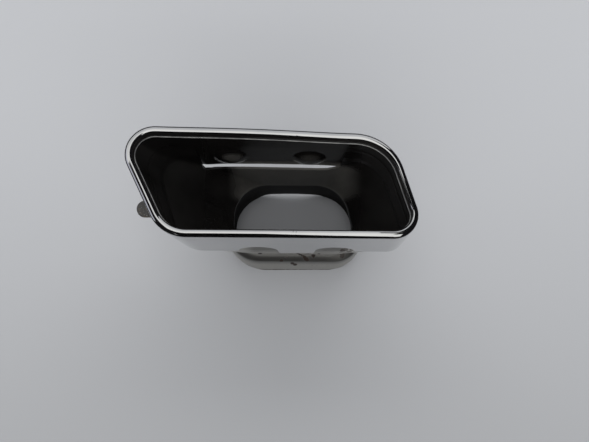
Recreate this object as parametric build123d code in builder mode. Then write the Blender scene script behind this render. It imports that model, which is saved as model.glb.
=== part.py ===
import os

from build123d import *

# Sizes in millimetres. Z runs up from the inlet end to the mouth, X is the long way of the mouth.
mouth_height = 108.0
mouth_near = -34.6
mouth_depth = 72.5
near_slant = 0.4
far_slant = 5.7
mouth_far_left = (-115.7, mouth_near + mouth_depth)
mouth_far_right = (59.5, mouth_near + mouth_depth - far_slant)
mouth_near_right = (81.6, mouth_near)
mouth_near_left = (-81.1, mouth_near + near_slant)
mouth_radii = (18.0, 34.0, 17.4, 28.0)
rim_curl = 3.0
rim_return = 3.0
shell_wall = 1.2

skirt_height = 56.5
rear_far_left = (-88.0, 31.4)
rear_far_right = (54.0, 31.4)
rear_near_right = (73.5, -31.2)
rear_near_left = (-72.0, -31.2)
rear_radii = (16.0, 26.0, 12.0, 22.0)
wing_height = 68.0
near_skirt = (-23.0, 25.5)
far_skirt = (-68.0, 37.0)

dish_depth = 3.0
far_dishes = (-41.7, 9.4)
far_dish_width = 21.0
far_dish_height = 66.5
near_dishes = near_skirt
near_dish_width = 25.0
near_dish_height = 68.5
arch_flare = 2.5

adapter_wall = 1.5
fit_gap = 0.2
adapter_front = 84.0
adapter_band = 67.0
slit_floor = 54.0
slit_ends = (-61.0, 30.0)
slit_corner = 7.0
collar_corners = ((-41.4, 24.9), (32.8, 24.9), (44.0, -24.9), (-42.6, -24.9))
collar_bottom = 28.4
collar_top = 32.0
socket_corners = ((-44.5, 27.6), (42.5, 27.6), (46.0, -28.3), (-46.8, -28.3))
socket_length = 25.0
lead_length = 10.0
inlet_corners = ((-41.0, 27.4), (39.4, 27.4), (42.2, -28.3), (-42.6, -28.3))
near_roundness = 0.82
far_roundness = 0.96
relief_width = 48.5
relief_height = 3.0
relief_middle = -3.3

lug_width = 10.8
lug_thickness = 3.0
lug_rise = 1.5
lug_end = (-95.5, -5.5)

mouth_corners = (mouth_far_left, mouth_far_right, mouth_near_right, mouth_near_left)
rear_corners = (rear_far_left, rear_far_right, rear_near_right, rear_near_left)
shell_depth = mouth_height - skirt_height
collar_far = collar_corners[0][1]
inlet_far = inlet_corners[0][1]


def outline(height, corners, radii, inset):
    # Flat rounded four-sided face at the given height, drawn in by the inset.
    with BuildSketch(Plane.XY.offset(height)) as drawn:
        with BuildLine():
            Polyline(*corners, close=True)
        make_face()
        for corner, radius in zip(corners, radii):
            tip = drawn.vertices().sort_by_distance((corner[0], corner[1], height))[0]
            fillet(tip, radius=radius)
        if inset:
            offset(amount=-inset, kind=Kind.INTERSECTION, mode=Mode.REPLACE)
    return drawn.sketch


def blend(first, second, share):
    return first + (second - first) * share


def shell_outline(height, inset):
    # Section of the shell at a height between its skirt and its mouth.
    share = (height - skirt_height) / shell_depth
    corners = []
    radii = []
    for rear, mouth, rear_radius, mouth_radius in zip(rear_corners, mouth_corners, rear_radii, mouth_radii):
        corners.append((blend(rear[0], mouth[0], share), blend(rear[1], mouth[1], share)))
        radii.append(blend(rear_radius, mouth_radius, share))
    return outline(height, corners, radii, inset)


def neck_outline(height, first, second, share, inset):
    # Round-ended section of the inlet neck, part of the way from one set of corners to another.
    corners = []
    for one, other in zip(first, second):
        corners.append((blend(one[0], other[0], share), blend(one[1], other[1], share)))
    half = (corners[0][1] - corners[3][1]) / 2
    far_radius = half * far_roundness
    near_radius = half * near_roundness
    return outline(height, corners, (far_radius, far_radius, near_radius, near_radius), inset)


def wall_face(side, x, height):
    # Outer face of the shell's far wall (side 1) or near wall (side -1) at a place along it.
    share = (height - skirt_height) / shell_depth
    if side > 0:
        rear_ends = (rear_far_left, rear_far_right)
        mouth_ends = (mouth_far_left, mouth_far_right)
    else:
        rear_ends = (rear_near_left, rear_near_right)
        mouth_ends = (mouth_near_left, mouth_near_right)
    ends = []
    for rear, mouth in zip(rear_ends, mouth_ends):
        ends.append((blend(rear[0], mouth[0], share), blend(rear[1], mouth[1], share)))
    along = (x - ends[0][0]) / (ends[1][0] - ends[0][0])
    return blend(ends[0][1], ends[1][1], along)


def dish_radius(width):
    return (width**2 / 4 + dish_depth**2) / (2 * dish_depth)


def dish_list(side):
    # Centre and radius of the ball that presses each dish of one side.
    if side > 0:
        places, width, height = far_dishes, far_dish_width, far_dish_height
    else:
        places, width, height = near_dishes, near_dish_width, near_dish_height
    dishes = []
    for x in places:
        y = wall_face(side, x, height) + side * (dish_radius(width) - dish_depth)
        dishes.append(((x, y, height), dish_radius(width)))
    return dishes


shell_core = loft([shell_outline(skirt_height, 0), shell_outline(mouth_height, 0)], ruled=True)
shell_room = loft(
    [shell_outline(skirt_height, shell_wall), shell_outline(mouth_height, shell_wall)], ruled=True
)

with BuildPart() as outer_shell:
    add(shell_core)
    add(shell_room, mode=Mode.SUBTRACT)
    # Pressed dishes of the far side, as thick as the sheet around them.
    for centre, radius in dish_list(1):
        with BuildPart(mode=Mode.PRIVATE) as bump:
            with Locations(centre):
                Sphere(radius + shell_wall)
            add(shell_room, mode=Mode.INTERSECT)
        add(bump.part)
        with Locations(centre):
            Sphere(radius, mode=Mode.SUBTRACT)
    # The rear edge is low along the two skirts and rises at both ends.
    reach = abs(mouth_far_left[0])
    beyond = rim_curl * 2
    with BuildSketch(Plane.XY.offset(skirt_height)):
        with BuildLine():
            Polyline(
                (near_skirt[0], rear_near_left[1] - beyond),
                (far_skirt[0], rear_far_left[1] + beyond),
                (far_skirt[0] - reach, rear_far_left[1] + beyond),
                (near_skirt[0] - reach, rear_near_left[1] - beyond),
                close=True,
            )
        make_face()
        with BuildLine():
            Polyline(
                (near_skirt[1], rear_near_right[1] - beyond),
                (near_skirt[1] + reach, rear_near_right[1] - beyond),
                (far_skirt[1] + reach, rear_far_right[1] + beyond),
                (far_skirt[1], rear_far_right[1] + beyond),
                close=True,
            )
        make_face()
    extrude(amount=wing_height - skirt_height, mode=Mode.SUBTRACT)
    # Arches in the near wall around the adapter's dishes, with a tongue left between them.
    with BuildSketch(Plane.XZ.offset(-rear_near_left[1] / 2)):
        for x in near_dishes:
            with Locations((x, near_dish_height)):
                Circle(near_dish_width / 2)
            side = near_dish_width / 2
            foot = skirt_height - arch_flare
            with BuildLine():
                Polyline(
                    (x - side, near_dish_height),
                    (x + side, near_dish_height),
                    (x + side + arch_flare, foot),
                    (x - side - arch_flare, foot),
                    close=True,
                )
            make_face()
    extrude(amount=-rear_near_left[1], mode=Mode.SUBTRACT)
    # Rolled rim, a half round with a short return leg inside.
    rim_line = outline(mouth_height, mouth_corners, mouth_radii, rim_curl).face().outer_wire()
    start = rim_line.position_at(0)
    outward = rim_line.tangent_at(0).cross(Vector(0, 0, 1))
    if outward.dot(start - rim_line.center()) < 0:
        outward = outward * -1
    rim_inside = rim_curl - shell_wall
    with BuildSketch(Plane(origin=start, x_dir=outward, z_dir=outward.cross(Vector(0, 0, 1)))):
        with BuildLine():
            ThreePointArc((rim_curl, 0), (0, rim_curl), (-rim_curl, 0))
            Polyline((-rim_curl, 0), (-rim_curl, -rim_return), (-rim_inside, -rim_return), (-rim_inside, 0))
            ThreePointArc((-rim_inside, 0), (0, rim_inside), (rim_inside, 0))
            Line((rim_inside, 0), (rim_curl, 0))
        make_face()
    sweep(path=rim_line)


def adapter_sections(inset):
    # Inlet end, socket, rounded step, collar, shoulders and the band that fits inside the shell.
    faces = [
        neck_outline(0, inlet_corners, socket_corners, 0, inset),
        neck_outline(lead_length / 2, inlet_corners, socket_corners, 0.75, inset),
        neck_outline(lead_length, inlet_corners, socket_corners, 1, inset),
    ]
    step = collar_bottom - socket_length
    for rise, share in ((-0.35, 0.0), (0.0, 0.12), (0.5, 0.5), (1.0, 0.88), (1.35, 1.0)):
        height = socket_length + rise * step
        faces.append(neck_outline(height, socket_corners, collar_corners, share, inset))
    faces.append(neck_outline(collar_top, socket_corners, collar_corners, 1, inset))
    for height in (adapter_band, adapter_front):
        faces.append(shell_outline(height, shell_wall + fit_gap + inset))
    return faces


adapter_core = loft(adapter_sections(0), ruled=True)
adapter_room = loft(adapter_sections(adapter_wall), ruled=True)

with BuildPart() as inlet_adapter:
    add(adapter_core)
    add(adapter_room, mode=Mode.SUBTRACT)
    # Pressed dishes that show through the shell's arches.
    for centre, radius in dish_list(-1):
        with BuildPart(mode=Mode.PRIVATE) as bump:
            with Locations(centre):
                Sphere(radius + shell_wall + fit_gap + adapter_wall)
            add(adapter_room, mode=Mode.INTERSECT)
        add(bump.part)
        with Locations(centre):
            Sphere(radius + shell_wall + fit_gap, mode=Mode.SUBTRACT)
    # Open seam along the far side, below the shell's skirt.
    slit_top = adapter_front + slit_corner
    with BuildSketch(Plane.XZ.offset(-collar_far)):
        with Locations(((slit_ends[0] + slit_ends[1]) / 2, (slit_floor + slit_top) / 2)):
            RectangleRounded(slit_ends[1] - slit_ends[0], slit_top - slit_floor, slit_corner)
    extrude(amount=-collar_far, mode=Mode.SUBTRACT)
    # Shallow relief in the far edge of the inlet end.
    relief_radius = (relief_width**2 / 4 + relief_height**2) / (2 * relief_height)
    with BuildSketch(Plane.XZ.offset(-inlet_far / 2)):
        with Locations((relief_middle, relief_height - relief_radius)):
            Circle(relief_radius)
    extrude(amount=-inlet_far, mode=Mode.SUBTRACT)

with BuildPart() as fixing_lug:
    with BuildSketch(Plane.XY.offset(wing_height + lug_rise)):
        with Locations(lug_end):
            Circle(lug_width / 2)
        with Locations((lug_end[0] + lug_width * 1.5, lug_end[1])):
            Rectangle(lug_width * 3, lug_width)
    extrude(amount=lug_thickness)
    add(shell_core, mode=Mode.SUBTRACT)

outer_shell.part.label = "outer_shell"
inlet_adapter.part.label = "inlet_adapter"
fixing_lug.part.label = "fixing_lug"

os.makedirs("parts", exist_ok=True)
export_step(outer_shell.part, "parts/outer_shell.step")
export_step(inlet_adapter.part, "parts/inlet_adapter.step")
export_step(fixing_lug.part, "parts/fixing_lug.step")
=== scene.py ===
import bpy
import bmesh
import math
from mathutils import Matrix, Vector


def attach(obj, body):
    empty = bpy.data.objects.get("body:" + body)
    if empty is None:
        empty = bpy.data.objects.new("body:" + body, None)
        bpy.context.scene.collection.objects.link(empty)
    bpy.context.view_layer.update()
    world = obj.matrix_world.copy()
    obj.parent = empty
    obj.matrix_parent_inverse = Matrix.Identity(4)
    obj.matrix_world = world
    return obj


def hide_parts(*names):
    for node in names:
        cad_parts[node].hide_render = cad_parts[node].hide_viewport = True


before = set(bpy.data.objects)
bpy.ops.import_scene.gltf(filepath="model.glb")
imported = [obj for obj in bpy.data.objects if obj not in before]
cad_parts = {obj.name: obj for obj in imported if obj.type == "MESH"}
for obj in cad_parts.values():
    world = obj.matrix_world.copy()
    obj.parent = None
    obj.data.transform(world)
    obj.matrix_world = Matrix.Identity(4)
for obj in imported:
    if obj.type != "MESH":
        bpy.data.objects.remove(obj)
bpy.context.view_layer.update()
print("frame loaded:", sorted(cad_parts))

mm = 0.001
farSide = 20.0  # what lies past this, in mm, belongs to the far wall
nearSide = -25.0  # and to the near wall


# shader maths as plain expressions: a Value is one output socket of a material
class Value:
    def __init__(self, look, socket):
        self.look = look
        self.socket = socket

    def maths(self, operation, first, second):
        return self.look.node("ShaderNodeMath", {"operation": operation}, {0: first, 1: second})

    def __add__(self, other):
        return self.maths("ADD", self, other)

    def __radd__(self, other):
        return self.maths("ADD", other, self)

    def __sub__(self, other):
        return self.maths("SUBTRACT", self, other)

    def __rsub__(self, other):
        return self.maths("SUBTRACT", other, self)

    def __mul__(self, other):
        return self.maths("MULTIPLY", self, other)

    def __rmul__(self, other):
        return self.maths("MULTIPLY", other, self)

    def __truediv__(self, other):
        return self.maths("DIVIDE", self, other)

    def most(self, other):
        return self.maths("MAXIMUM", self, other)

    def size(self):
        return self.maths("ABSOLUTE", self, 0.0)


class Look:
    def __init__(self, name):
        self.material = bpy.data.materials.new(name)
        self.material.use_nodes = True
        self.tree = self.material.node_tree
        self.shader = self.tree.nodes["Principled BSDF"]
        self.place = self.node("ShaderNodeTexCoord", {}, {}, "Object")

    def node(self, kind, settings, inputs, output=0):
        made = self.tree.nodes.new(kind)
        for key, value in settings.items():
            setattr(made, key, value)
        for key, value in inputs.items():
            self.plug(made.inputs[key], value)
        return Value(self, made.outputs[output])

    def plug(self, socket, value):
        if isinstance(value, Value):
            self.tree.links.new(value.socket, socket)
        elif socket.type == "RGBA":
            socket.default_value = (*value, 1.0)
        else:
            socket.default_value = value

    def set(self, **inputs):
        for key, value in inputs.items():
            self.plug(self.shader.inputs[key.replace("_", " ")], value)

    def noise(self, scale, detail=3.0, rough=0.5, place=None):
        inputs = {"Vector": place or self.place, "Scale": scale, "Detail": detail, "Roughness": rough}
        return self.node("ShaderNodeTexNoise", {}, inputs, "Fac")

    def stretched(self, stretch):
        return self.node("ShaderNodeMapping", {}, {"Vector": self.place, "Scale": stretch})

    def ramp(self, value, low, high):  # 0 at low, 1 at high, smooth in between
        inputs = {"Value": value, "From Min": low, "From Max": high}
        return self.node("ShaderNodeMapRange", {"interpolation_type": "SMOOTHSTEP"}, inputs)

    def mix(self, share, first, second):
        inputs = {"Factor": share, 6: first, 7: second}
        return self.node("ShaderNodeMix", {"data_type": "RGBA"}, inputs, 2)

    def axes(self, place=None):
        split = self.node("ShaderNodeSeparateXYZ", {}, {0: place or self.place})
        return [Value(self, out) for out in split.socket.node.outputs]

    def bump(self, height, distance, strength=1.0):
        inputs = {"Height": height, "Distance": distance, "Strength": strength}
        return self.node("ShaderNodeBump", {}, inputs)


# chrome: bright and smooth, with a faint haze and fine wiping marks
def chromeLook():
    look = Look("polished chrome")
    haze = look.noise(38.0, 4.0, 0.55)
    wipe = look.noise(60.0, 2.0, 0.6, look.stretched((1.0, 1.0, 14.0)))
    look.set(Metallic=1.0)
    look.set(Base_Color=look.mix(look.ramp(haze, 0.35, 0.7), (0.59, 0.59, 0.595), (0.55, 0.555, 0.56)))
    look.set(Roughness=0.045 + 0.05 * look.ramp(haze, 0.5, 0.75) + 0.03 * wipe)
    wave = look.noise(14.0, 1.0, 0.4)
    look.set(Normal=look.bump(wave, 0.0004, 0.25))
    return look.material


# sooty satin black, with a painted lit patch on the far wall, a painted highlight along the bend of the
# step and painted highlights on the two far dishes
# painted highlights on the two far dishes
dishHighlights = [(-40.5, 0.5), (9.5, 0.28)]  # x in mm and depth of colour


def innerLook():
    look = Look("satin black inside")
    x, y, z = look.axes()
    soot = look.noise(45.0, 5.0, 0.6)
    streak = look.noise(60.0, 4.0, 0.65, look.stretched((1.0, 1.0, 0.25)))
    # painted light: a paler patch on the far wall, x from -46 to 46 mm, between heights 30 and 63 mm
    paintedLight = look.ramp(x, -0.046, -0.034) * look.ramp(x, 0.046, 0.030) * look.ramp(y, 0.010, 0.016)
    # painted highlight along the bend of the step, at heights 30 to 34 mm
    bend = look.ramp(z, 0.0300, 0.0312) * look.ramp(z, 0.0340, 0.0322)
    paintedLight = paintedLight * look.ramp(z, 0.063, 0.0565) * look.ramp(z, 0.0300, 0.0325)
    paintedLight = paintedLight * (0.25 + streak + 0.35 * look.ramp(z, 0.036, 0.052) + 0.5 * bend)
    # painted highlights: soft pale blobs on the far dishes near height 71.5 mm
    for dish, depth in dishHighlights:
        across = (x - dish * mm) / (6.5 * mm)
        along = (z - 71.5 * mm) / (4.5 * mm)
        away = across * across + along * along + 1.2 * (streak - 0.5)
        paintedLight = paintedLight.most(depth * look.ramp(away, 1.5, 0.0) * look.ramp(y, 0.018, 0.024))
    shade = look.mix(look.ramp(soot, 0.3, 0.75), (0.0095, 0.0086, 0.0083), (0.0170, 0.0155, 0.0145))
    # painted shade: the far wall past y 27.5 mm is made darker
    shade = look.mix(0.7 * look.ramp(y, 0.0275, 0.0295), shade, (0.0035, 0.0030, 0.0028))
    look.set(Base_Color=look.mix(paintedLight, shade, (0.128, 0.122, 0.111)))
    ends = look.ramp((x + 0.008).size(), 0.046, 0.062)
    dull = (0.28 * ends).most(0.45 * look.ramp(z, 0.0325, 0.0295))
    look.set(Roughness=0.14 + 0.13 * soot + 0.22 * paintedLight + dull)
    look.set(Specular_IOR_Level=0.34)
    return look.material


# bare steel along the inner edge of the rolled rim
def edgeLook():
    look = Look("bare edge")
    worn = look.noise(160.0, 3.0, 0.6)
    look.set(Base_Color=look.mix(look.ramp(worn, 0.3, 0.7), (0.20, 0.20, 0.20), (0.36, 0.36, 0.35)))
    look.set(Metallic=0.5)
    look.set(Roughness=0.5)
    return look.material


# dull grey inlet sheet with rust freckles and brown stains near the joint
rustSpots = [  # x, z, width, height and depth of colour, in mm on the near side
    (-22.8, 37.0, 1.4, 4.2, 1.0), (-8.7, 26.0, 1.2, 0.8, 1.0), (-5.6, 27.9, 0.8, 0.5, 0.7),
    (-1.4, 20.6, 1.3, 3.6, 1.0), (0.4, 17.8, 1.5, 3.2, 1.0), (-2.5, 36.0, 1.7, 2.2, 0.5),
    (2.3, 38.0, 1.3, 3.4, 0.9), (3.7, 32.4, 1.4, 2.6, 1.0), (5.3, 29.4, 1.3, 1.3, 1.0),
    (6.7, 27.8, 1.1, 0.7, 1.0), (7.8, 27.0, 1.5, 0.8, 1.0), (8.5, 26.5, 1.3, 0.8, 1.0),
    (12.4, 31.0, 1.4, 3.2, 1.0), (16.1, 37.1, 1.0, 3.0, 0.85), (10.1, 40.3, 1.4, 3.0, 0.6),
    (32.1, 27.8, 1.8, 1.2, 0.8), (31.1, 58.5, 1.8, 4.0, 0.9), (32.9, 62.4, 1.4, 4.0, 0.7),
    (35.2, 54.8, 1.7, 6.0, 0.75), (36.4, 64.0, 1.2, 5.0, 0.7), (30.2, 50.0, 1.2, 4.0, 0.6),
    (33.2, 45.0, 2.4, 6.0, 0.5), (36.0, 44.0, 2.0, 8.0, 0.5),
]


def inletLook():
    look = Look("dull inlet steel")
    x, y, z = look.axes()
    cloud = look.noise(55.0, 4.0, 0.6)
    ragged = look.noise(420.0, 3.0, 0.6)
    grain = look.noise(420.0, 2.0, 0.5, look.stretched((1.0, 1.0, 0.18)))
    steel = look.mix(cloud, (0.40, 0.390, 0.365), (0.515, 0.504, 0.473))
    steel = look.mix(0.3 * grain, steel, (0.34, 0.33, 0.30))
    near = look.ramp(y, 0.0, -0.01)
    # painted shade: the pressed dishes on the near side
    pressed = look.ramp((x - 0.0015).size(), 0.035, 0.027) * look.ramp(z, 0.044, 0.060) * near
    stepShade = look.ramp(z, 0.0155, 0.0262) * look.ramp(z, 0.0293, 0.0266)  # painted shade along the step
    steel = look.mix(0.9 * stepShade * near, steel, (0.15, 0.147, 0.14))
    steel = look.mix(0.75 * pressed, steel, (0.17, 0.167, 0.16))  # painted shade in the pressed dishes under the shell's arched edge
    freckle = 0.8 * look.ramp(look.noise(230.0, 3.0, 0.55), 0.70, 0.76)
    for spotX, spotZ, wide, high, depth in rustSpots:
        across = (x - spotX * mm) / (wide * mm)
        along = (z - spotZ * mm) / (high * mm)
        away = across * across + along * along + 2.4 * (ragged - 0.5)
        freckle = freckle.most(depth * look.ramp(away, 1.35, 0.75) * near)
    stain = look.ramp(look.noise(70.0, 4.0, 0.6), 0.56, 0.72) * look.ramp(z, 0.024, 0.034)
    # a ragged dark brown band along the lowest 4 mm of the sheet
    foot = look.ramp(z, 0.0040, 0.0024) * look.ramp(ragged, 0.30, 0.50)
    rustAndFootBand = freckle.most(0.35 * stain).most(0.85 * foot)
    brown = look.mix(ragged, (0.010, 0.007, 0.006), (0.038, 0.022, 0.015))
    look.set(Base_Color=look.mix(rustAndFootBand, steel, brown))
    look.set(Metallic=0.92 - 0.8 * rustAndFootBand)
    look.set(Roughness=0.40 + 0.12 * cloud + 0.30 * rustAndFootBand)
    look.set(Normal=look.bump(0.5 * grain + 0.8 * rustAndFootBand, 0.00008, 0.5))
    return look.material


# dark lug steel with a rusty bloom and bare flecks
def lugLook():
    look = Look("dark lug steel")
    cloud = look.noise(240.0, 5.0, 0.65)
    fine = look.noise(900.0, 2.0, 0.5)
    bloom = look.ramp(cloud, 0.46, 0.62)
    fleck = look.ramp(fine, 0.60, 0.70) * look.ramp(cloud, 0.62, 0.46)
    dark = look.mix(bloom, (0.066, 0.064, 0.062), (0.135, 0.105, 0.078))
    look.set(Base_Color=look.mix(0.75 * fleck, dark, (0.34, 0.33, 0.31)))
    look.set(Metallic=0.35 + 0.4 * fleck)
    look.set(Roughness=0.45 + 0.3 * bloom)
    look.set(Normal=look.bump(fine + cloud, 0.00012, 0.6))
    return look.material


chrome = chromeLook()
inner = innerLook()
bareEdge = edgeLook()
inlet = inletLook()
lugSteel = lugLook()
print("materials ready")


# the four-sided outline of a sheet, as points that keep their order at every height
def blend(first, second, share):
    return first + (second - first) * share


def blendCorners(low, high, share):
    return [tuple(blend(a, b, share) for a, b in zip(one, two)) for one, two in zip(low, high)]


def outlinePoints(corners, radii, inset, columns):
    arcs = []
    for index in range(4):
        corner = Vector(corners[index])
        back = (Vector(corners[index - 1]) - corner).normalized()
        ahead = (Vector(corners[(index + 1) % 4]) - corner).normalized()
        half = back.angle(ahead) / 2
        middle = corner + (back + ahead).normalized() * (radii[index] / math.sin(half))
        reach = radii[index] / math.tan(half)
        first = corner + back * reach - middle
        last = corner + ahead * reach - middle
        start = math.atan2(first.y, first.x)
        turn = (math.atan2(last.y, last.x) - start + math.pi) % (2 * math.pi) - math.pi
        radius = radii[index] - inset
        steps = columns["arc"]
        for step in range(steps + 1):
            angle = start + turn * step / steps
            arcs.append((middle.x + radius * math.cos(angle), middle.y + radius * math.sin(angle)))
    points = []
    count = columns["arc"] + 1
    for index in range(4):
        points += arcs[index * count:(index + 1) * count]
        leave = arcs[index * count + count - 1]
        enter = arcs[(index * count + count) % (4 * count)]
        side = columns["sides"][index]
        if isinstance(side, int):  # evenly spaced on the short sides
            shares = [(step + 1) / (side + 1) for step in range(side)]
        else:  # at fixed places along the long sides, with a few more out to the corners
            shares = []
            places = [(x * mm - leave[0]) / (enter[0] - leave[0]) for x in side]
            lead = columns["lead"]
            shares += [places[0] * (step + 1) / (lead + 1) for step in range(lead)]
            shares += places
            shares += [blend(places[-1], 1.0, (step + 1) / (lead + 1)) for step in range(lead)]
        points += [(blend(leave[0], enter[0], s), blend(leave[1], enter[1], s)) for s in shares]
    return points


def spread(stops):  # places from one stop to the next, each stretch with its own spacing
    places = [stops[0][0]]
    for (start, gap), (end, unused) in zip(stops, stops[1:]):
        parts = max(1, round(abs(end - start) / gap))
        places += [start + (end - start) * (part + 1) / parts for part in range(parts)]
    return places


# the shell: a chrome sheet pressed to a slanted mouth, its rim rolled inwards
shell = {
    "rearHeight": 56.5, "wingHeight": 68.0, "mouthHeight": 108.0, "wall": 1.2,
    "rear": [(-88.0, 31.4), (54.0, 31.4), (73.5, -31.2), (-72.0, -31.2)],
    "rearRadii": [16.0, 26.0, 12.0, 22.0],
    "mouth": [(-115.7, 37.9), (59.5, 32.2), (80.55, -34.59), (-81.1, -34.2)],
    "mouthRadii": [18.0, 32.0, 15.5, 25.0],
    "curl": 3.0, "rollWide": 5.4, "leg": 2.6, "lip": 0.6,
    "lipTurn": [(0.0, 0.6), (0.15, 0.3), (0.5, 0.15), (1.0, 0.0)],  # inwards and up, as shares of the lip
    "roll": [(90, 48, 0.53, 4), (48, 8, 4.48, 9), (8, -90, 2.77, 14)],  # from and to angle, radius, parts
    "lean": 0.14, "narrow": 0.2, "farLean": 0.08, "farLeanTo": 3.4,
    "bow": (-28.0, 62.0, 0.65),  # middle, half length, depth
    "nearSkirt": (-23.0, 25.5), "tongue": 61.5, "farSkirt": (-68.0, 37.0),
    "archFlare": 2.5, "archDeep": 30.0, "archMiddle": -33.5,
    "dishDepth": 3.0, "dishEdge": 0.35, "dishLeast": 0.02, "dishTop": 84.0, "fineTop": 82.0,
    "farDishes": [(-41.7, 66.5, 21.0), (9.4, 66.5, 21.0)],  # x, height, width
    "nearDishes": [(-23.0, 68.5, 25.0), (25.5, 68.5, 25.0)],
    "nick": (-0.5, 0.018), "nickRows": (4, 22),  # x and depth, rows of the roll
    "nickLines": (-1.5, -0.3, 0.9), "nickLean": 0.8, "nickWide": 0.45,
    "bend": [(-64, 0.0), (-58, 0.8), (-48, 0.2), (-20, 0.0), (8, 0.4),
             (20, 0.9), (29, 1.5), (34, 0.5), (40, 0.0)],  # x and how far the skirt leans in
    "bendHeight": 8.0, "edge": 0.2,
}


def shellSection(height, inset, columns):
    share = (height - shell["rearHeight"]) / (shell["mouthHeight"] - shell["rearHeight"])
    corners = blendCorners(shell["rear"], shell["mouth"], share)
    radii = [blend(a, b, share) for a, b in zip(shell["rearRadii"], shell["mouthRadii"])]
    corners = [(x * mm, y * mm) for x, y in corners]
    points = outlinePoints(corners, [r * mm for r in radii], inset * mm, columns)
    return [Vector((x, y, height * mm)) for x, y in points]


def skirtLine(index, y):  # where the low skirt ends, at this depth
    near = shell["rear"][2][1] - shell["curl"] * 2
    far = shell["rear"][0][1] + shell["curl"] * 2
    return blend(shell["nearSkirt"][index], shell["farSkirt"][index], (y - near) / (far - near))


def wallFace(side, x, height):
    share = (height - shell["rearHeight"]) / (shell["mouthHeight"] - shell["rearHeight"])
    corners = blendCorners(shell["rear"], shell["mouth"], share)
    left, right = (corners[0], corners[1]) if side > 0 else (corners[3], corners[2])
    return blend(left[1], right[1], (x - left[0]) / (right[0] - left[0]))


def pressDishes(points, beyond, side):  # pushes the sheet in where a dish is pressed
    depth = shell["dishDepth"]
    edge = shell["dishEdge"]
    for x, height, width in shell["farDishes"] if side > 0 else shell["nearDishes"]:
        ball = (width * width / 4 + depth * depth) / (2 * depth)
        middle = wallFace(side, x, height) + side * (ball - depth)
        radius = ball + beyond
        for point in points:
            off = (point.x / mm - x) ** 2 + (point.z / mm - height) ** 2
            if side * point.y < 0 or off > radius * radius:
                continue
            push = side * (point.y / mm - middle) + math.sqrt(radius * radius - off)
            push = (push + math.sqrt(push * push + edge * edge)) / 2
            if push > shell["dishLeast"]:
                point.y -= side * (push - edge * edge / 4 / (push + edge)) * mm


def between(table, x):  # straight lines through a table of places and values
    for (start, first), (end, second) in zip(table, table[1:]):
        if start <= x <= end:
            return blend(first, second, (x - start) / (end - start))
    return 0.0


def bendSkirt(points):  # the far skirt leans in a little towards its ends
    for point in points:
        low = 1 - (point.z / mm - shell["rearHeight"]) / shell["bendHeight"]
        if point.y > farSide * mm and low > 0:
            point.y -= between(shell["bend"], point.x / mm) * low * low * mm


def activeOnly(piece):
    bpy.ops.object.select_all(action="DESELECT")
    piece.select_set(True)
    bpy.context.view_layer.objects.active = piece


def flatPiece(points, fill="NGON"):  # a circle with one corner for each point, moved onto the outline
    bpy.ops.object.select_all(action="DESELECT")
    bpy.ops.mesh.primitive_circle_add(vertices=len(points), radius=0.05, fill_type=fill)
    piece = bpy.context.object
    for vertex, point in zip(piece.data.vertices, points):
        vertex.co = point
    return piece


def rounded(point):  # to a thousandth of a millimetre, to know a corner again
    return tuple(round(c * 1e6) for c in point)


def raiseRing(piece, rows):  # extrudes the ring from one row of points to the next
    bpy.ops.object.mode_set(mode="EDIT")
    bpy.ops.mesh.select_mode(type="EDGE")
    bpy.ops.mesh.select_all(action="SELECT")
    for low, high in zip(rows, rows[1:]):
        bpy.ops.mesh.extrude_edges_move()
        shape = bmesh.from_edit_mesh(piece.data)
        places = {rounded(point): at for at, point in enumerate(low)}
        for vertex in shape.verts:
            if vertex.select:
                vertex.co = high[places[rounded(vertex.co)]]
        bmesh.update_edit_mesh(piece.data)
    bpy.ops.object.mode_set(mode="OBJECT")


def removeFaces(piece, test):  # deletes the faces whose middle passes the test
    bpy.ops.object.mode_set(mode="EDIT")
    bpy.ops.mesh.select_mode(type="FACE")
    bpy.ops.mesh.select_all(action="DESELECT")
    bpy.ops.object.mode_set(mode="OBJECT")
    for face in piece.data.polygons:
        face.select = test(face.center / mm)
    bpy.ops.object.mode_set(mode="EDIT")
    bpy.ops.mesh.delete(type="FACE")
    bpy.ops.mesh.select_all(action="SELECT")
    bpy.ops.mesh.delete_loose()
    bpy.ops.object.mode_set(mode="OBJECT")


def faceOutwards(piece):
    bpy.ops.object.mode_set(mode="EDIT")
    bpy.ops.mesh.select_all(action="SELECT")
    bpy.ops.mesh.normals_make_consistent(inside=False)
    bpy.ops.object.mode_set(mode="OBJECT")
    outward = sum(f.normal.x * f.center.x + f.normal.y * f.center.y for f in piece.data.polygons)
    if outward < 0:
        bpy.ops.object.mode_set(mode="EDIT")
        bpy.ops.mesh.flip_normals()
        bpy.ops.object.mode_set(mode="OBJECT")


def roundEdges(piece, width, segments, angle):
    activeOnly(piece)
    rounding = piece.modifiers.new("edges", "BEVEL")
    rounding.width = width * mm
    rounding.segments = segments
    rounding.limit_method = "ANGLE"
    rounding.angle_limit = math.radians(angle)
    bpy.ops.object.modifier_apply(modifier="edges")


def smooth(piece, angle):
    activeOnly(piece)
    bpy.ops.object.shade_smooth_by_angle(angle=math.radians(angle))


def thicken(piece, wall, edge):  # sheet thickness inwards, the inside in the second material
    activeOnly(piece)
    sheet = piece.modifiers.new("sheet", "SOLIDIFY")
    sheet.thickness = wall * mm
    sheet.offset = -1.0
    sheet.use_even_offset = True
    sheet.material_offset = 1
    bpy.ops.object.modifier_apply(modifier="sheet")
    if edge:
        roundEdges(piece, edge, 2, 60)
    smooth(piece, 38)


def cutWith(piece, cutter):
    activeOnly(piece)
    cut = piece.modifiers.new("cut", "BOOLEAN")
    cut.operation = "DIFFERENCE"
    cut.solver = "EXACT"
    cut.object = cutter
    bpy.ops.object.modifier_apply(modifier="cut")
    bpy.data.objects.remove(cutter)


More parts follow.
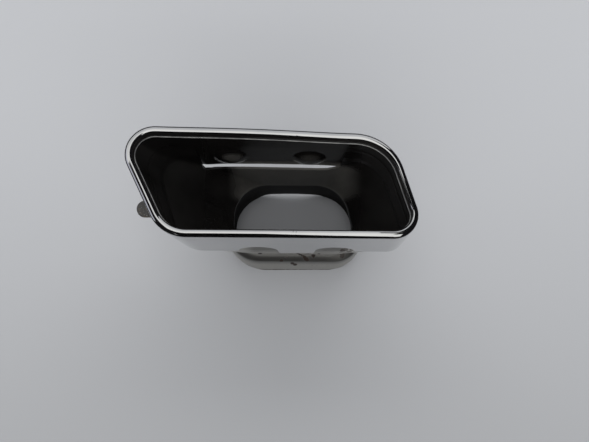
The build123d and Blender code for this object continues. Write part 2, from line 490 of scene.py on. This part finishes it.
def rollPath():  # inset and height along the rolled rim, from the outer wall to the foot of its leg
    path = []
    inset, height = 0.0, 0.0
    for start, end, radius, parts in shell["roll"]:
        for part in range(parts):
            one = math.radians(start + (end - start) * part / parts)
            two = math.radians(start + (end - start) * (part + 1) / parts)
            inset += radius * (math.sin(one) - math.sin(two))
            height += radius * (math.cos(two) - math.cos(one))
            path.append((inset, height))
    top = max(point[1] for point in path)
    wide = path[-1][0]
    rise = shell["mouthHeight"] + shell["curl"] - top
    last = shell["rollWide"]
    path = [(0.0, rise)] + [(at * last / wide, rise + up) for at, up in path]
    foot = shell["mouthHeight"] - shell["leg"]
    lip = shell["lip"]
    path.append((last, blend(path[-1][1], foot, 0.5)))
    for out, up in shell["lipTurn"]:
        path.append((last + lip * out, foot + lip * up))
    return path


def leanRim(points, inset):  # the rim slopes and narrows on its right, and slopes far off
    count = len(points)
    runs = [points[(at + 1) % count] - points[at - 1] for at in range(count)]
    for point, along in zip(points, runs):
        facing = max(0.0, -along.y / along.length)
        point.z -= shell["lean"] * facing * facing * inset * mm
        shift = shell["narrow"] * facing * facing * inset * mm / along.length
        point += Vector((-along.y, along.x, 0)) * shift
        facing = max(0.0, along.x / along.length)
        point.z += shell["farLean"] * facing * facing * min(0.0, inset - shell["farLeanTo"]) * mm


def bowFar(points, share):  # the far edge of the mouth bows out a little
    middle, half, depth = shell["bow"]
    for point in points:
        away = (point.x / mm - middle) / half
        if point.y > farSide * mm and abs(away) < 1:
            point.y += depth * share * (1 - away * away) ** 2 * mm


def markNick(points, share):  # fine crimp lines across the near rim
    x, depth = shell["nick"]
    wide = shell["nickWide"]
    for point in points:
        if point.y < nearSide * mm:
            for line in shell["nickLines"]:
                away = abs(point.x / mm - x - line - shell["nickLean"] * (share - 0.5))
                if away < wide:
                    point.z -= depth * (1 - away / wide) * mm


def archCutter(x, height, width):  # round-topped bar through the near wall
    bpy.ops.object.select_all(action="DESELECT")
    bpy.ops.mesh.primitive_cylinder_add(
        vertices=96, radius=width / 2 * mm, depth=shell["archDeep"] * mm,
        location=(x * mm, shell["archMiddle"] * mm, height * mm), rotation=(math.pi / 2, 0, 0))
    cutter = bpy.context.object
    bpy.ops.object.transform_apply(location=True, rotation=True, scale=True)
    foot = shell["rearHeight"] - shell["archFlare"]
    for vertex in cutter.data.vertices:  # the lower half becomes a straight foot that widens downwards
        drop = height * mm - vertex.co.z
        off = vertex.co.x - x * mm
        if drop > 1e-6:
            share = drop / (width / 2 * mm)
            if abs(off) > 1e-5:
                half = width / 2 + shell["archFlare"] * share
                vertex.co.x = (x + math.copysign(half, off)) * mm
            vertex.co.z = blend(height, foot, share) * mm
    return cutter


def makeShell():
    far = spread([(-71.0, 2.0), (-54.0, 0.7), (-30.0, 2.0), (-3.0, 0.7), (22.0, 2.0), (33.0, 1.0)])
    near = spread([(55.0, 2.0), (4.0, 0.35), (-4.0, 2.0), (-43.0, 1.0)])
    far = sorted(far + [skirtLine(0, shell["mouth"][1][1])])
    columns = {"arc": 22, "sides": [far, 34, near, 34], "lead": 6}
    low, wing, top = shell["rearHeight"], shell["wingHeight"], shell["mouthHeight"]
    heights = spread([(low, 0.7), (wing, 0.7), (shell["fineTop"], 2.0), (top, 1.0)])
    rows = []
    for height in heights:
        points = shellSection(height, 0.0, columns)
        if height < shell["dishTop"]:
            pressDishes(points, 0.0, 1)
            bendSkirt(points)
        else:
            bowFar(points, (height - shell["dishTop"]) / (top - shell["dishTop"]))
        rows.append(points)
    first, last = shell["nickRows"]
    for step, (inset, height) in enumerate(rollPath()):
        points = shellSection(top, inset, columns)
        for point in points:
            point.z = height * mm
        leanRim(points, inset)
        bowFar(points, 1.0)
        if first < step < last:
            markNick(points, (step - first) / (last - first))
        rows.append(points)
    piece = flatPiece(rows[0], "NOTHING")
    piece.name = "chromeShell"
    raiseRing(piece, rows)

    def isOpen(centre):  # both wings, and below the tongue
        belowTongue = centre.y < 0 and centre.z < shell["tongue"]
        onSkirt = skirtLine(0, centre.y) < centre.x < skirtLine(1, centre.y)
        return belowTongue or (centre.z < wing and not onSkirt)

    removeFaces(piece, isOpen)
    faceOutwards(piece)
    for material in (chrome, inner, bareEdge):
        piece.data.materials.append(material)
    edge = (top - shell["leg"] + 0.3 * shell["lip"] + 0.01) * mm
    for face in piece.data.polygons:  # the rim's inner leg is black down to its bare edge
        inwards = face.normal.x * face.center.x + face.normal.y * face.center.y < 0
        if inwards and face.center.z < edge:
            face.material_index = 2
        elif inwards and face.normal.z < 0.6:
            face.material_index = 1
    thicken(piece, shell["wall"], shell["edge"])
    for x, height, width in shell["nearDishes"]:
        cutWith(piece, archCutter(x, height, width))
    smooth(piece, 38)
    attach(piece, "root")
    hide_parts("outer_shell")
    print("shell:", len(piece.data.polygons), "faces")


# the inlet: a steel sheet from the oval socket up to the band inside the shell
adapter = {
    "wall": 1.5, "gap": 0.2, "front": 84.0, "band": 67.0,
    "thin": 72.0, "thinShare": 0.85, "thinSoon": 1.4,
    "neckTop": 30.0, "neckGap": 1.6, "rowGap": 0.8, "dishLow": 52.0, "sootLow": 50.0,
    "inlet": [(-41.0, 27.4), (39.4, 27.4), (41.6, -27.4), (-42.6, -28.3)],
    "socket": [(-44.5, 27.6), (42.5, 27.6), (46.0, -28.3), (-46.8, -28.3)],
    "collar": [(-41.4, 24.9), (32.8, 24.9), (44.0, -24.9), (-42.6, -24.9)],
    "lead": 10.0, "leadShare": 0.75, "socketTop": 25.0, "collarLow": 28.4, "collarTop": 32.0,
    "stepParts": 12, "stepFrom": 0.05, "stepOver": 1.1,
    "farRound": 0.96, "nearRound": (0.68, 0.82),  # right and left
    "slit": [(-60.6, 57.4), (-59.0, 55.0), (-55.0, 54.0), (-46.0, 54.5), (-34.0, 54.9), (-18.0, 54.6),
             (0.0, 54.3), (14.0, 54.0), (21.0, 54.4), (25.0, 55.8), (29.5, 58.6)],  # x and height
    "slitSpare": 4.0, "slitInside": 20.0, "slitDeep": 22.0, "slitReach": 66.0,
    "relief": (48.5, 3.5, -3.3), "reliefDeep": 27.0,  # width, height and middle
}


def neckSection(height, corners, columns):
    half = (corners[0][1] - corners[3][1]) / 2
    far = half * adapter["farRound"] * mm
    right, left = [half * share * mm for share in adapter["nearRound"]]
    places = [(x * mm, y * mm) for x, y in corners]
    points = outlinePoints(places, [far, far, right, left], 0.0, columns)
    return [Vector((x, y, height * mm)) for x, y in points]


def makeAdapter():
    columns = {"arc": 24, "sides": [58, 16, 74, 20], "lead": 0}
    socket, collar = adapter["socket"], adapter["collar"]
    step = adapter["collarLow"] - adapter["socketTop"]
    lead = blendCorners(adapter["inlet"], socket, adapter["leadShare"])
    stations = [
        neckSection(0.0, adapter["inlet"], columns),
        neckSection(adapter["lead"] / 2, lead, columns),
        neckSection(adapter["lead"], socket, columns),
    ]
    for part in range(adapter["stepParts"] + 1):  # rounded step from the socket to the collar
        share = part / adapter["stepParts"]
        height = adapter["socketTop"] + step * (share * adapter["stepOver"] + adapter["stepFrom"])
        eased = share * share * (3 - 2 * share)
        stations.append(neckSection(height, blendCorners(socket, collar, eased), columns))
    stations.append(neckSection(adapter["collarTop"], collar, columns))
    inset = shell["wall"] + adapter["gap"]
    for height in (adapter["band"], adapter["front"]):
        stations.append(shellSection(height, inset, columns))
    rows = [stations[0]]
    for low, high in zip(stations, stations[1:]):
        gap = adapter["neckGap"] if high[0].z < adapter["neckTop"] * mm else adapter["rowGap"]
        parts = max(1, round((high[0].z - low[0].z) / (gap * mm)))
        for part in range(parts):
            rows.append([a.lerp(b, (part + 1) / parts) for a, b in zip(low, high)])
    for points in rows:
        if points[0].z > adapter["dishLow"] * mm:
            pressDishes(points, inset, -1)
    piece = flatPiece(rows[0], "NOTHING")
    piece.name = "steelInlet"
    raiseRing(piece, rows)
    faceOutwards(piece)
    for material in (inlet, inner):
        piece.data.materials.append(material)
    count = len(piece.data.vertices)
    thicken(piece, adapter["wall"], 0.0)
    for at in range(count):  # the sheet thins out to its upper edge
        outside, inside = piece.data.vertices[at], piece.data.vertices[at + count]
        share = (outside.co.z / mm - adapter["thin"]) / (adapter["front"] - adapter["thin"])
        if share > 0:
            soon = min(share * adapter["thinSoon"], 1.0)
            inside.co = inside.co.lerp(outside.co, adapter["thinShare"] * soon)
    cutSlit(piece)
    cutRelief(piece)
    for face in piece.data.polygons:  # soot on every cut edge but the inlet end
        topEdge = face.material_index == 0 and face.normal.z > 0.5
        slitEnd = face.center.y > 0.0 and abs(face.normal.x) > 0.7
        slitEnd = slitEnd and abs(face.center.x) < adapter["slitReach"] * mm
        if face.center.z > adapter["sootLow"] * mm and (topEdge or slitEnd):
            face.material_index = 1
    smooth(piece, 38)
    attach(piece, "root")
    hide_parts("inlet_adapter")
    print("inlet:", len(piece.data.polygons), "faces")


def cutSlit(piece):  # open seam along the far side, below the skirt
    floor = adapter["slit"]
    spare = adapter["slitSpare"]
    top = adapter["front"] + spare
    outline = floor + [(floor[-1][0] + spare, top), (floor[0][0] - spare, top)]
    cutter = flatPiece([(x * mm, adapter["slitInside"] * mm, z * mm) for x, z in outline])
    bpy.ops.object.mode_set(mode="EDIT")
    bpy.ops.mesh.select_all(action="SELECT")
    bpy.ops.mesh.extrude_region_move(TRANSFORM_OT_translate={"value": (0, adapter["slitDeep"] * mm, 0)})
    bpy.ops.mesh.select_all(action="SELECT")
    bpy.ops.mesh.normals_make_consistent(inside=False)
    bpy.ops.object.mode_set(mode="OBJECT")
    cutWith(piece, cutter)


def cutRelief(piece):  # shallow arc in the far edge of the inlet end
    width, height, middle = adapter["relief"]
    deep = adapter["reliefDeep"] * mm
    radius = (width * width / 4 + height * height) / (2 * height)
    bpy.ops.object.select_all(action="DESELECT")
    bpy.ops.mesh.primitive_cylinder_add(
        vertices=256, radius=radius * mm, depth=deep,
        location=(middle * mm, deep, (height - radius) * mm), rotation=(math.pi / 2, 0, 0))
    cutter = bpy.context.object
    bpy.ops.object.transform_apply(location=True, rotation=True, scale=True)
    cutWith(piece, cutter)


# the lug: a round-ended strip of thick steel
lug = {
    "end": (-95.5, -5.5), "width": 10.8, "thick": 3.0, "low": 69.5,
    "roots": (-80.8, -84.3), "reach": 12.0, "edge": 0.55,
}


def makeLug():
    x, y = lug["end"]
    middle = (x * mm, y * mm, (lug["low"] + lug["thick"] / 2) * mm)
    bpy.ops.object.select_all(action="DESELECT")
    bpy.ops.mesh.primitive_cylinder_add(
        vertices=64, radius=lug["width"] / 2 * mm, depth=lug["thick"] * mm, location=middle)
    piece = bpy.context.object
    piece.name = "lugPlate"
    bpy.ops.object.transform_apply(location=True, rotation=True, scale=True)
    bpy.ops.object.mode_set(mode="EDIT")
    bpy.ops.mesh.select_all(action="SELECT")
    bpy.ops.mesh.bisect(plane_co=middle, plane_no=(1, 0, 0), use_fill=True, clear_outer=True)
    bpy.ops.mesh.select_mode(type="FACE")
    bpy.ops.object.mode_set(mode="OBJECT")
    for face in piece.data.polygons:
        face.select = face.normal.x > 0.9
    bpy.ops.object.mode_set(mode="EDIT")
    bpy.ops.mesh.extrude_region_move(TRANSFORM_OT_translate={"value": (lug["reach"] * mm, 0, 0)})
    bpy.ops.object.mode_set(mode="OBJECT")
    for vertex in piece.data.vertices:  # the root follows the slanted shell wall
        if vertex.co.x > (x + lug["reach"] / 2) * mm:
            share = (vertex.co.y / mm - y) / lug["width"] + 0.5
            vertex.co.x = blend(lug["roots"][0], lug["roots"][1], share) * mm
    roundEdges(piece, lug["edge"], 3, 50)
    smooth(piece, 35)
    piece.data.materials.append(lugSteel)
    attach(piece, "root")
    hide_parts("fixing_lug")
    print("lug:", len(piece.data.polygons), "faces")


makeShell()
makeAdapter()
makeLug()


# the table and the light around it, in metres
stage = {"table": 12.0, "room": 6.0, "tableEdge": 0.36, "darkSpread": 15, "darkHeight": 0.002}
cards = {  # dark cards that only the metal sees
    "sideCard": [(-0.0002, -0.017, 0.118), (-0.0002, 0.018, 0.118),
                 (-0.0002, 0.018, 0.135), (-0.0002, -0.017, 0.165)],
    "topCard": [(0.055, -0.0155, 0.15), (0.105, -0.0155, 0.15),
                (0.105, 0.014, 0.15), (0.055, 0.014, 0.15)],
    "frontCard": [(-0.16, -0.066, 0.24), (-0.022, -0.066, 0.24), (0.03, -0.14, 0.24),
                  (0.09, -0.2, 0.24), (0.09, -0.9, 0.24), (-0.16, -0.9, 0.24)],
}
lamps = [  # name, power, width and height, place, aim
    ("window", 7.6, (1.8, 0.8), (0, 0.95, 0.9), (0, 0.22, 0)),
    ("fill", 8.4, (2.2, 0.8), (0, -1.1, 0.7), (0, -0.05, 0)),
    ("ceiling", 4.2, (0.7, 0.7), (-0.12, -0.10, 2.0), (0, 0, 0)),
]
view = {
    "place": (-0.00015, -0.22108, 0.80641), "tilt": 74.19, "roll": 0.33,
    "focal": 1200.0, "wide": 589.0,  # in pixels
}


def darkLook(name):
    look = Look(name)
    grain = look.noise(6.0, 2.0, 0.5)
    look.set(Base_Color=look.mix(grain, (0.008, 0.008, 0.008), (0.00776, 0.00776, 0.00776)))
    look.set(Roughness=1.0)
    look.set(Specular_IOR_Level=0.15)
    return look.material


def makeTable():
    bpy.ops.object.select_all(action="DESELECT")
    bpy.ops.mesh.primitive_plane_add(size=stage["table"], location=(0, 0, 0))
    floor = bpy.context.object
    floor.name = "table"
    look = Look("pale table")
    y = look.axes()[1]
    fine = look.noise(6.0, 2.0, 0.5)
    # painted shade: the table darkens from the far side at y 0.16 m to the near side at y -0.32 m
    shadedBoard = look.mix(look.ramp(y, -0.32, 0.16), (0.350, 0.353, 0.359), (0.545, 0.551, 0.567))
    look.set(Base_Color=look.mix(0.2 * fine, shadedBoard, (0.48, 0.487, 0.505)))
    look.set(Roughness=0.75)
    look.set(Specular_IOR_Level=0.15)
    floor.data.materials.append(look.material)


def onlyInReflections(thing):
    thing.visible_camera = False
    thing.visible_diffuse = False
    thing.visible_shadow = False
    thing.visible_transmission = False


def makeRoom():  # a dim room with a bright ceiling strip and far window, only seen in the metal
    bpy.ops.object.select_all(action="DESELECT")
    bpy.ops.mesh.primitive_uv_sphere_add(segments=48, ring_count=24, radius=stage["room"])
    room = bpy.context.object
    room.name = "room"
    look = Look("room walls")
    direction = look.node("ShaderNodeVectorMath", {"operation": "NORMALIZE"}, {0: look.place})
    x, y, z = look.axes(direction)
    sway = 0.10 * (look.noise(2.2, 2.0, 0.5, direction) - 0.5)
    above = y - (0.342 + 0.477 * x)  # over the line of directions that the left rim mirrors
    widen = 0.6 * look.ramp(y, 0.42, 0.95) + 0.3 * look.ramp(y, -0.12, -0.5)
    strip = look.ramp(x + sway, -0.42, -0.35) * look.ramp(x + sway, 0.13 + widen, 0.09 + widen)
    strip = strip * look.ramp(y + sway, -0.86, -0.70)
    corner = look.ramp(above, 0.03, 0.10) * look.ramp(x, -0.20, -0.28)
    pane = look.ramp(x, -0.82, -0.87) * look.ramp(above, -0.30, -0.22)
    bright = strip.most(0.9 * corner).most(0.8 * pane) * look.ramp(z, 0.10, 0.17)
    pale = look.mix(look.ramp(y, 1.0, -0.1), (0.66, 0.67, 0.69), (1.16, 1.16, 1.13))
    pale = look.mix(pane, pale, (0.72, 0.73, 0.82))
    colour = look.mix(bright, (0.010, 0.010, 0.011), pale)
    glow = look.node("ShaderNodeEmission", {}, {"Color": colour, "Strength": 1.0})
    look.plug(look.tree.nodes["Material Output"].inputs["Surface"], glow)
    room.data.materials.append(look.material)
    onlyInReflections(room)


def makeDarkSurround():  # past the table's edge the room is dark, in the metal only
    bpy.ops.object.select_all(action="DESELECT")
    middle = (0, 0, stage["darkHeight"])
    bpy.ops.mesh.primitive_circle_add(
        vertices=96, radius=stage["tableEdge"], fill_type="NOTHING", location=middle)
    ring = bpy.context.object
    ring.name = "darkSurround"
    bpy.ops.object.transform_apply(location=True, rotation=True, scale=True)
    bpy.ops.object.mode_set(mode="EDIT")
    bpy.ops.mesh.select_all(action="SELECT")
    bpy.ops.mesh.extrude_edges_move()
    bpy.ops.transform.resize(value=(stage["darkSpread"], stage["darkSpread"], 1), center_override=middle)
    bpy.ops.object.mode_set(mode="OBJECT")
    ring.data.materials.append(darkLook("dark floor"))
    onlyInReflections(ring)


def makeCard(name, corners):
    card = flatPiece(corners)
    card.name = name
    card.data.materials.append(darkLook(name))
    onlyInReflections(card)


def addLamp(name, energy, size, location, aim):
    lamp = bpy.data.lights.new(name, "AREA")
    lamp.shape = "RECTANGLE"
    lamp.size, lamp.size_y = size
    lamp.energy = energy
    light = bpy.data.objects.new(name, lamp)
    bpy.context.scene.collection.objects.link(light)
    light.location = location
    light.rotation_euler = (Vector(aim) - light.location).to_track_quat("-Z", "Y").to_euler()
    light.visible_glossy = False


def makeLights():
    world = bpy.data.worlds.new("daylight")
    bpy.context.scene.world = world
    world.use_nodes = True
    sky = world.node_tree.nodes["Background"].inputs
    sky["Color"].default_value = (0.95, 0.97, 1.0, 1.0)
    sky["Strength"].default_value = 0.52
    for lamp in lamps:
        addLamp(*lamp)
    makeRoom()
    makeDarkSurround()
    for name, corners in cards.items():
        makeCard(name, corners)


def makeCamera():
    lens = bpy.data.cameras.new("camera")
    lens.sensor_width = 36.0
    lens.lens = lens.sensor_width * view["focal"] / view["wide"]
    lens.clip_start = 0.01
    camera = bpy.data.objects.new("camera", lens)
    bpy.context.scene.collection.objects.link(camera)
    bpy.context.scene.camera = camera
    tilt = math.radians(view["tilt"])
    roll = math.radians(view["roll"])
    ahead = Vector((0, math.cos(tilt), -math.sin(tilt)))
    right = Vector((1, 0, 0))
    up = Vector((0, math.sin(tilt), math.cos(tilt)))
    across = right * math.cos(roll) + up * math.sin(roll)
    upwards = up * math.cos(roll) - right * math.sin(roll)
    turn = Matrix((across, upwards, -ahead)).transposed()
    camera.matrix_world = Matrix.Translation(view["place"]) @ turn.to_4x4()


makeTable()
makeLights()
makeCamera()
bpy.context.scene.view_settings.view_transform = "Standard"
print("stage, lights and camera ready")
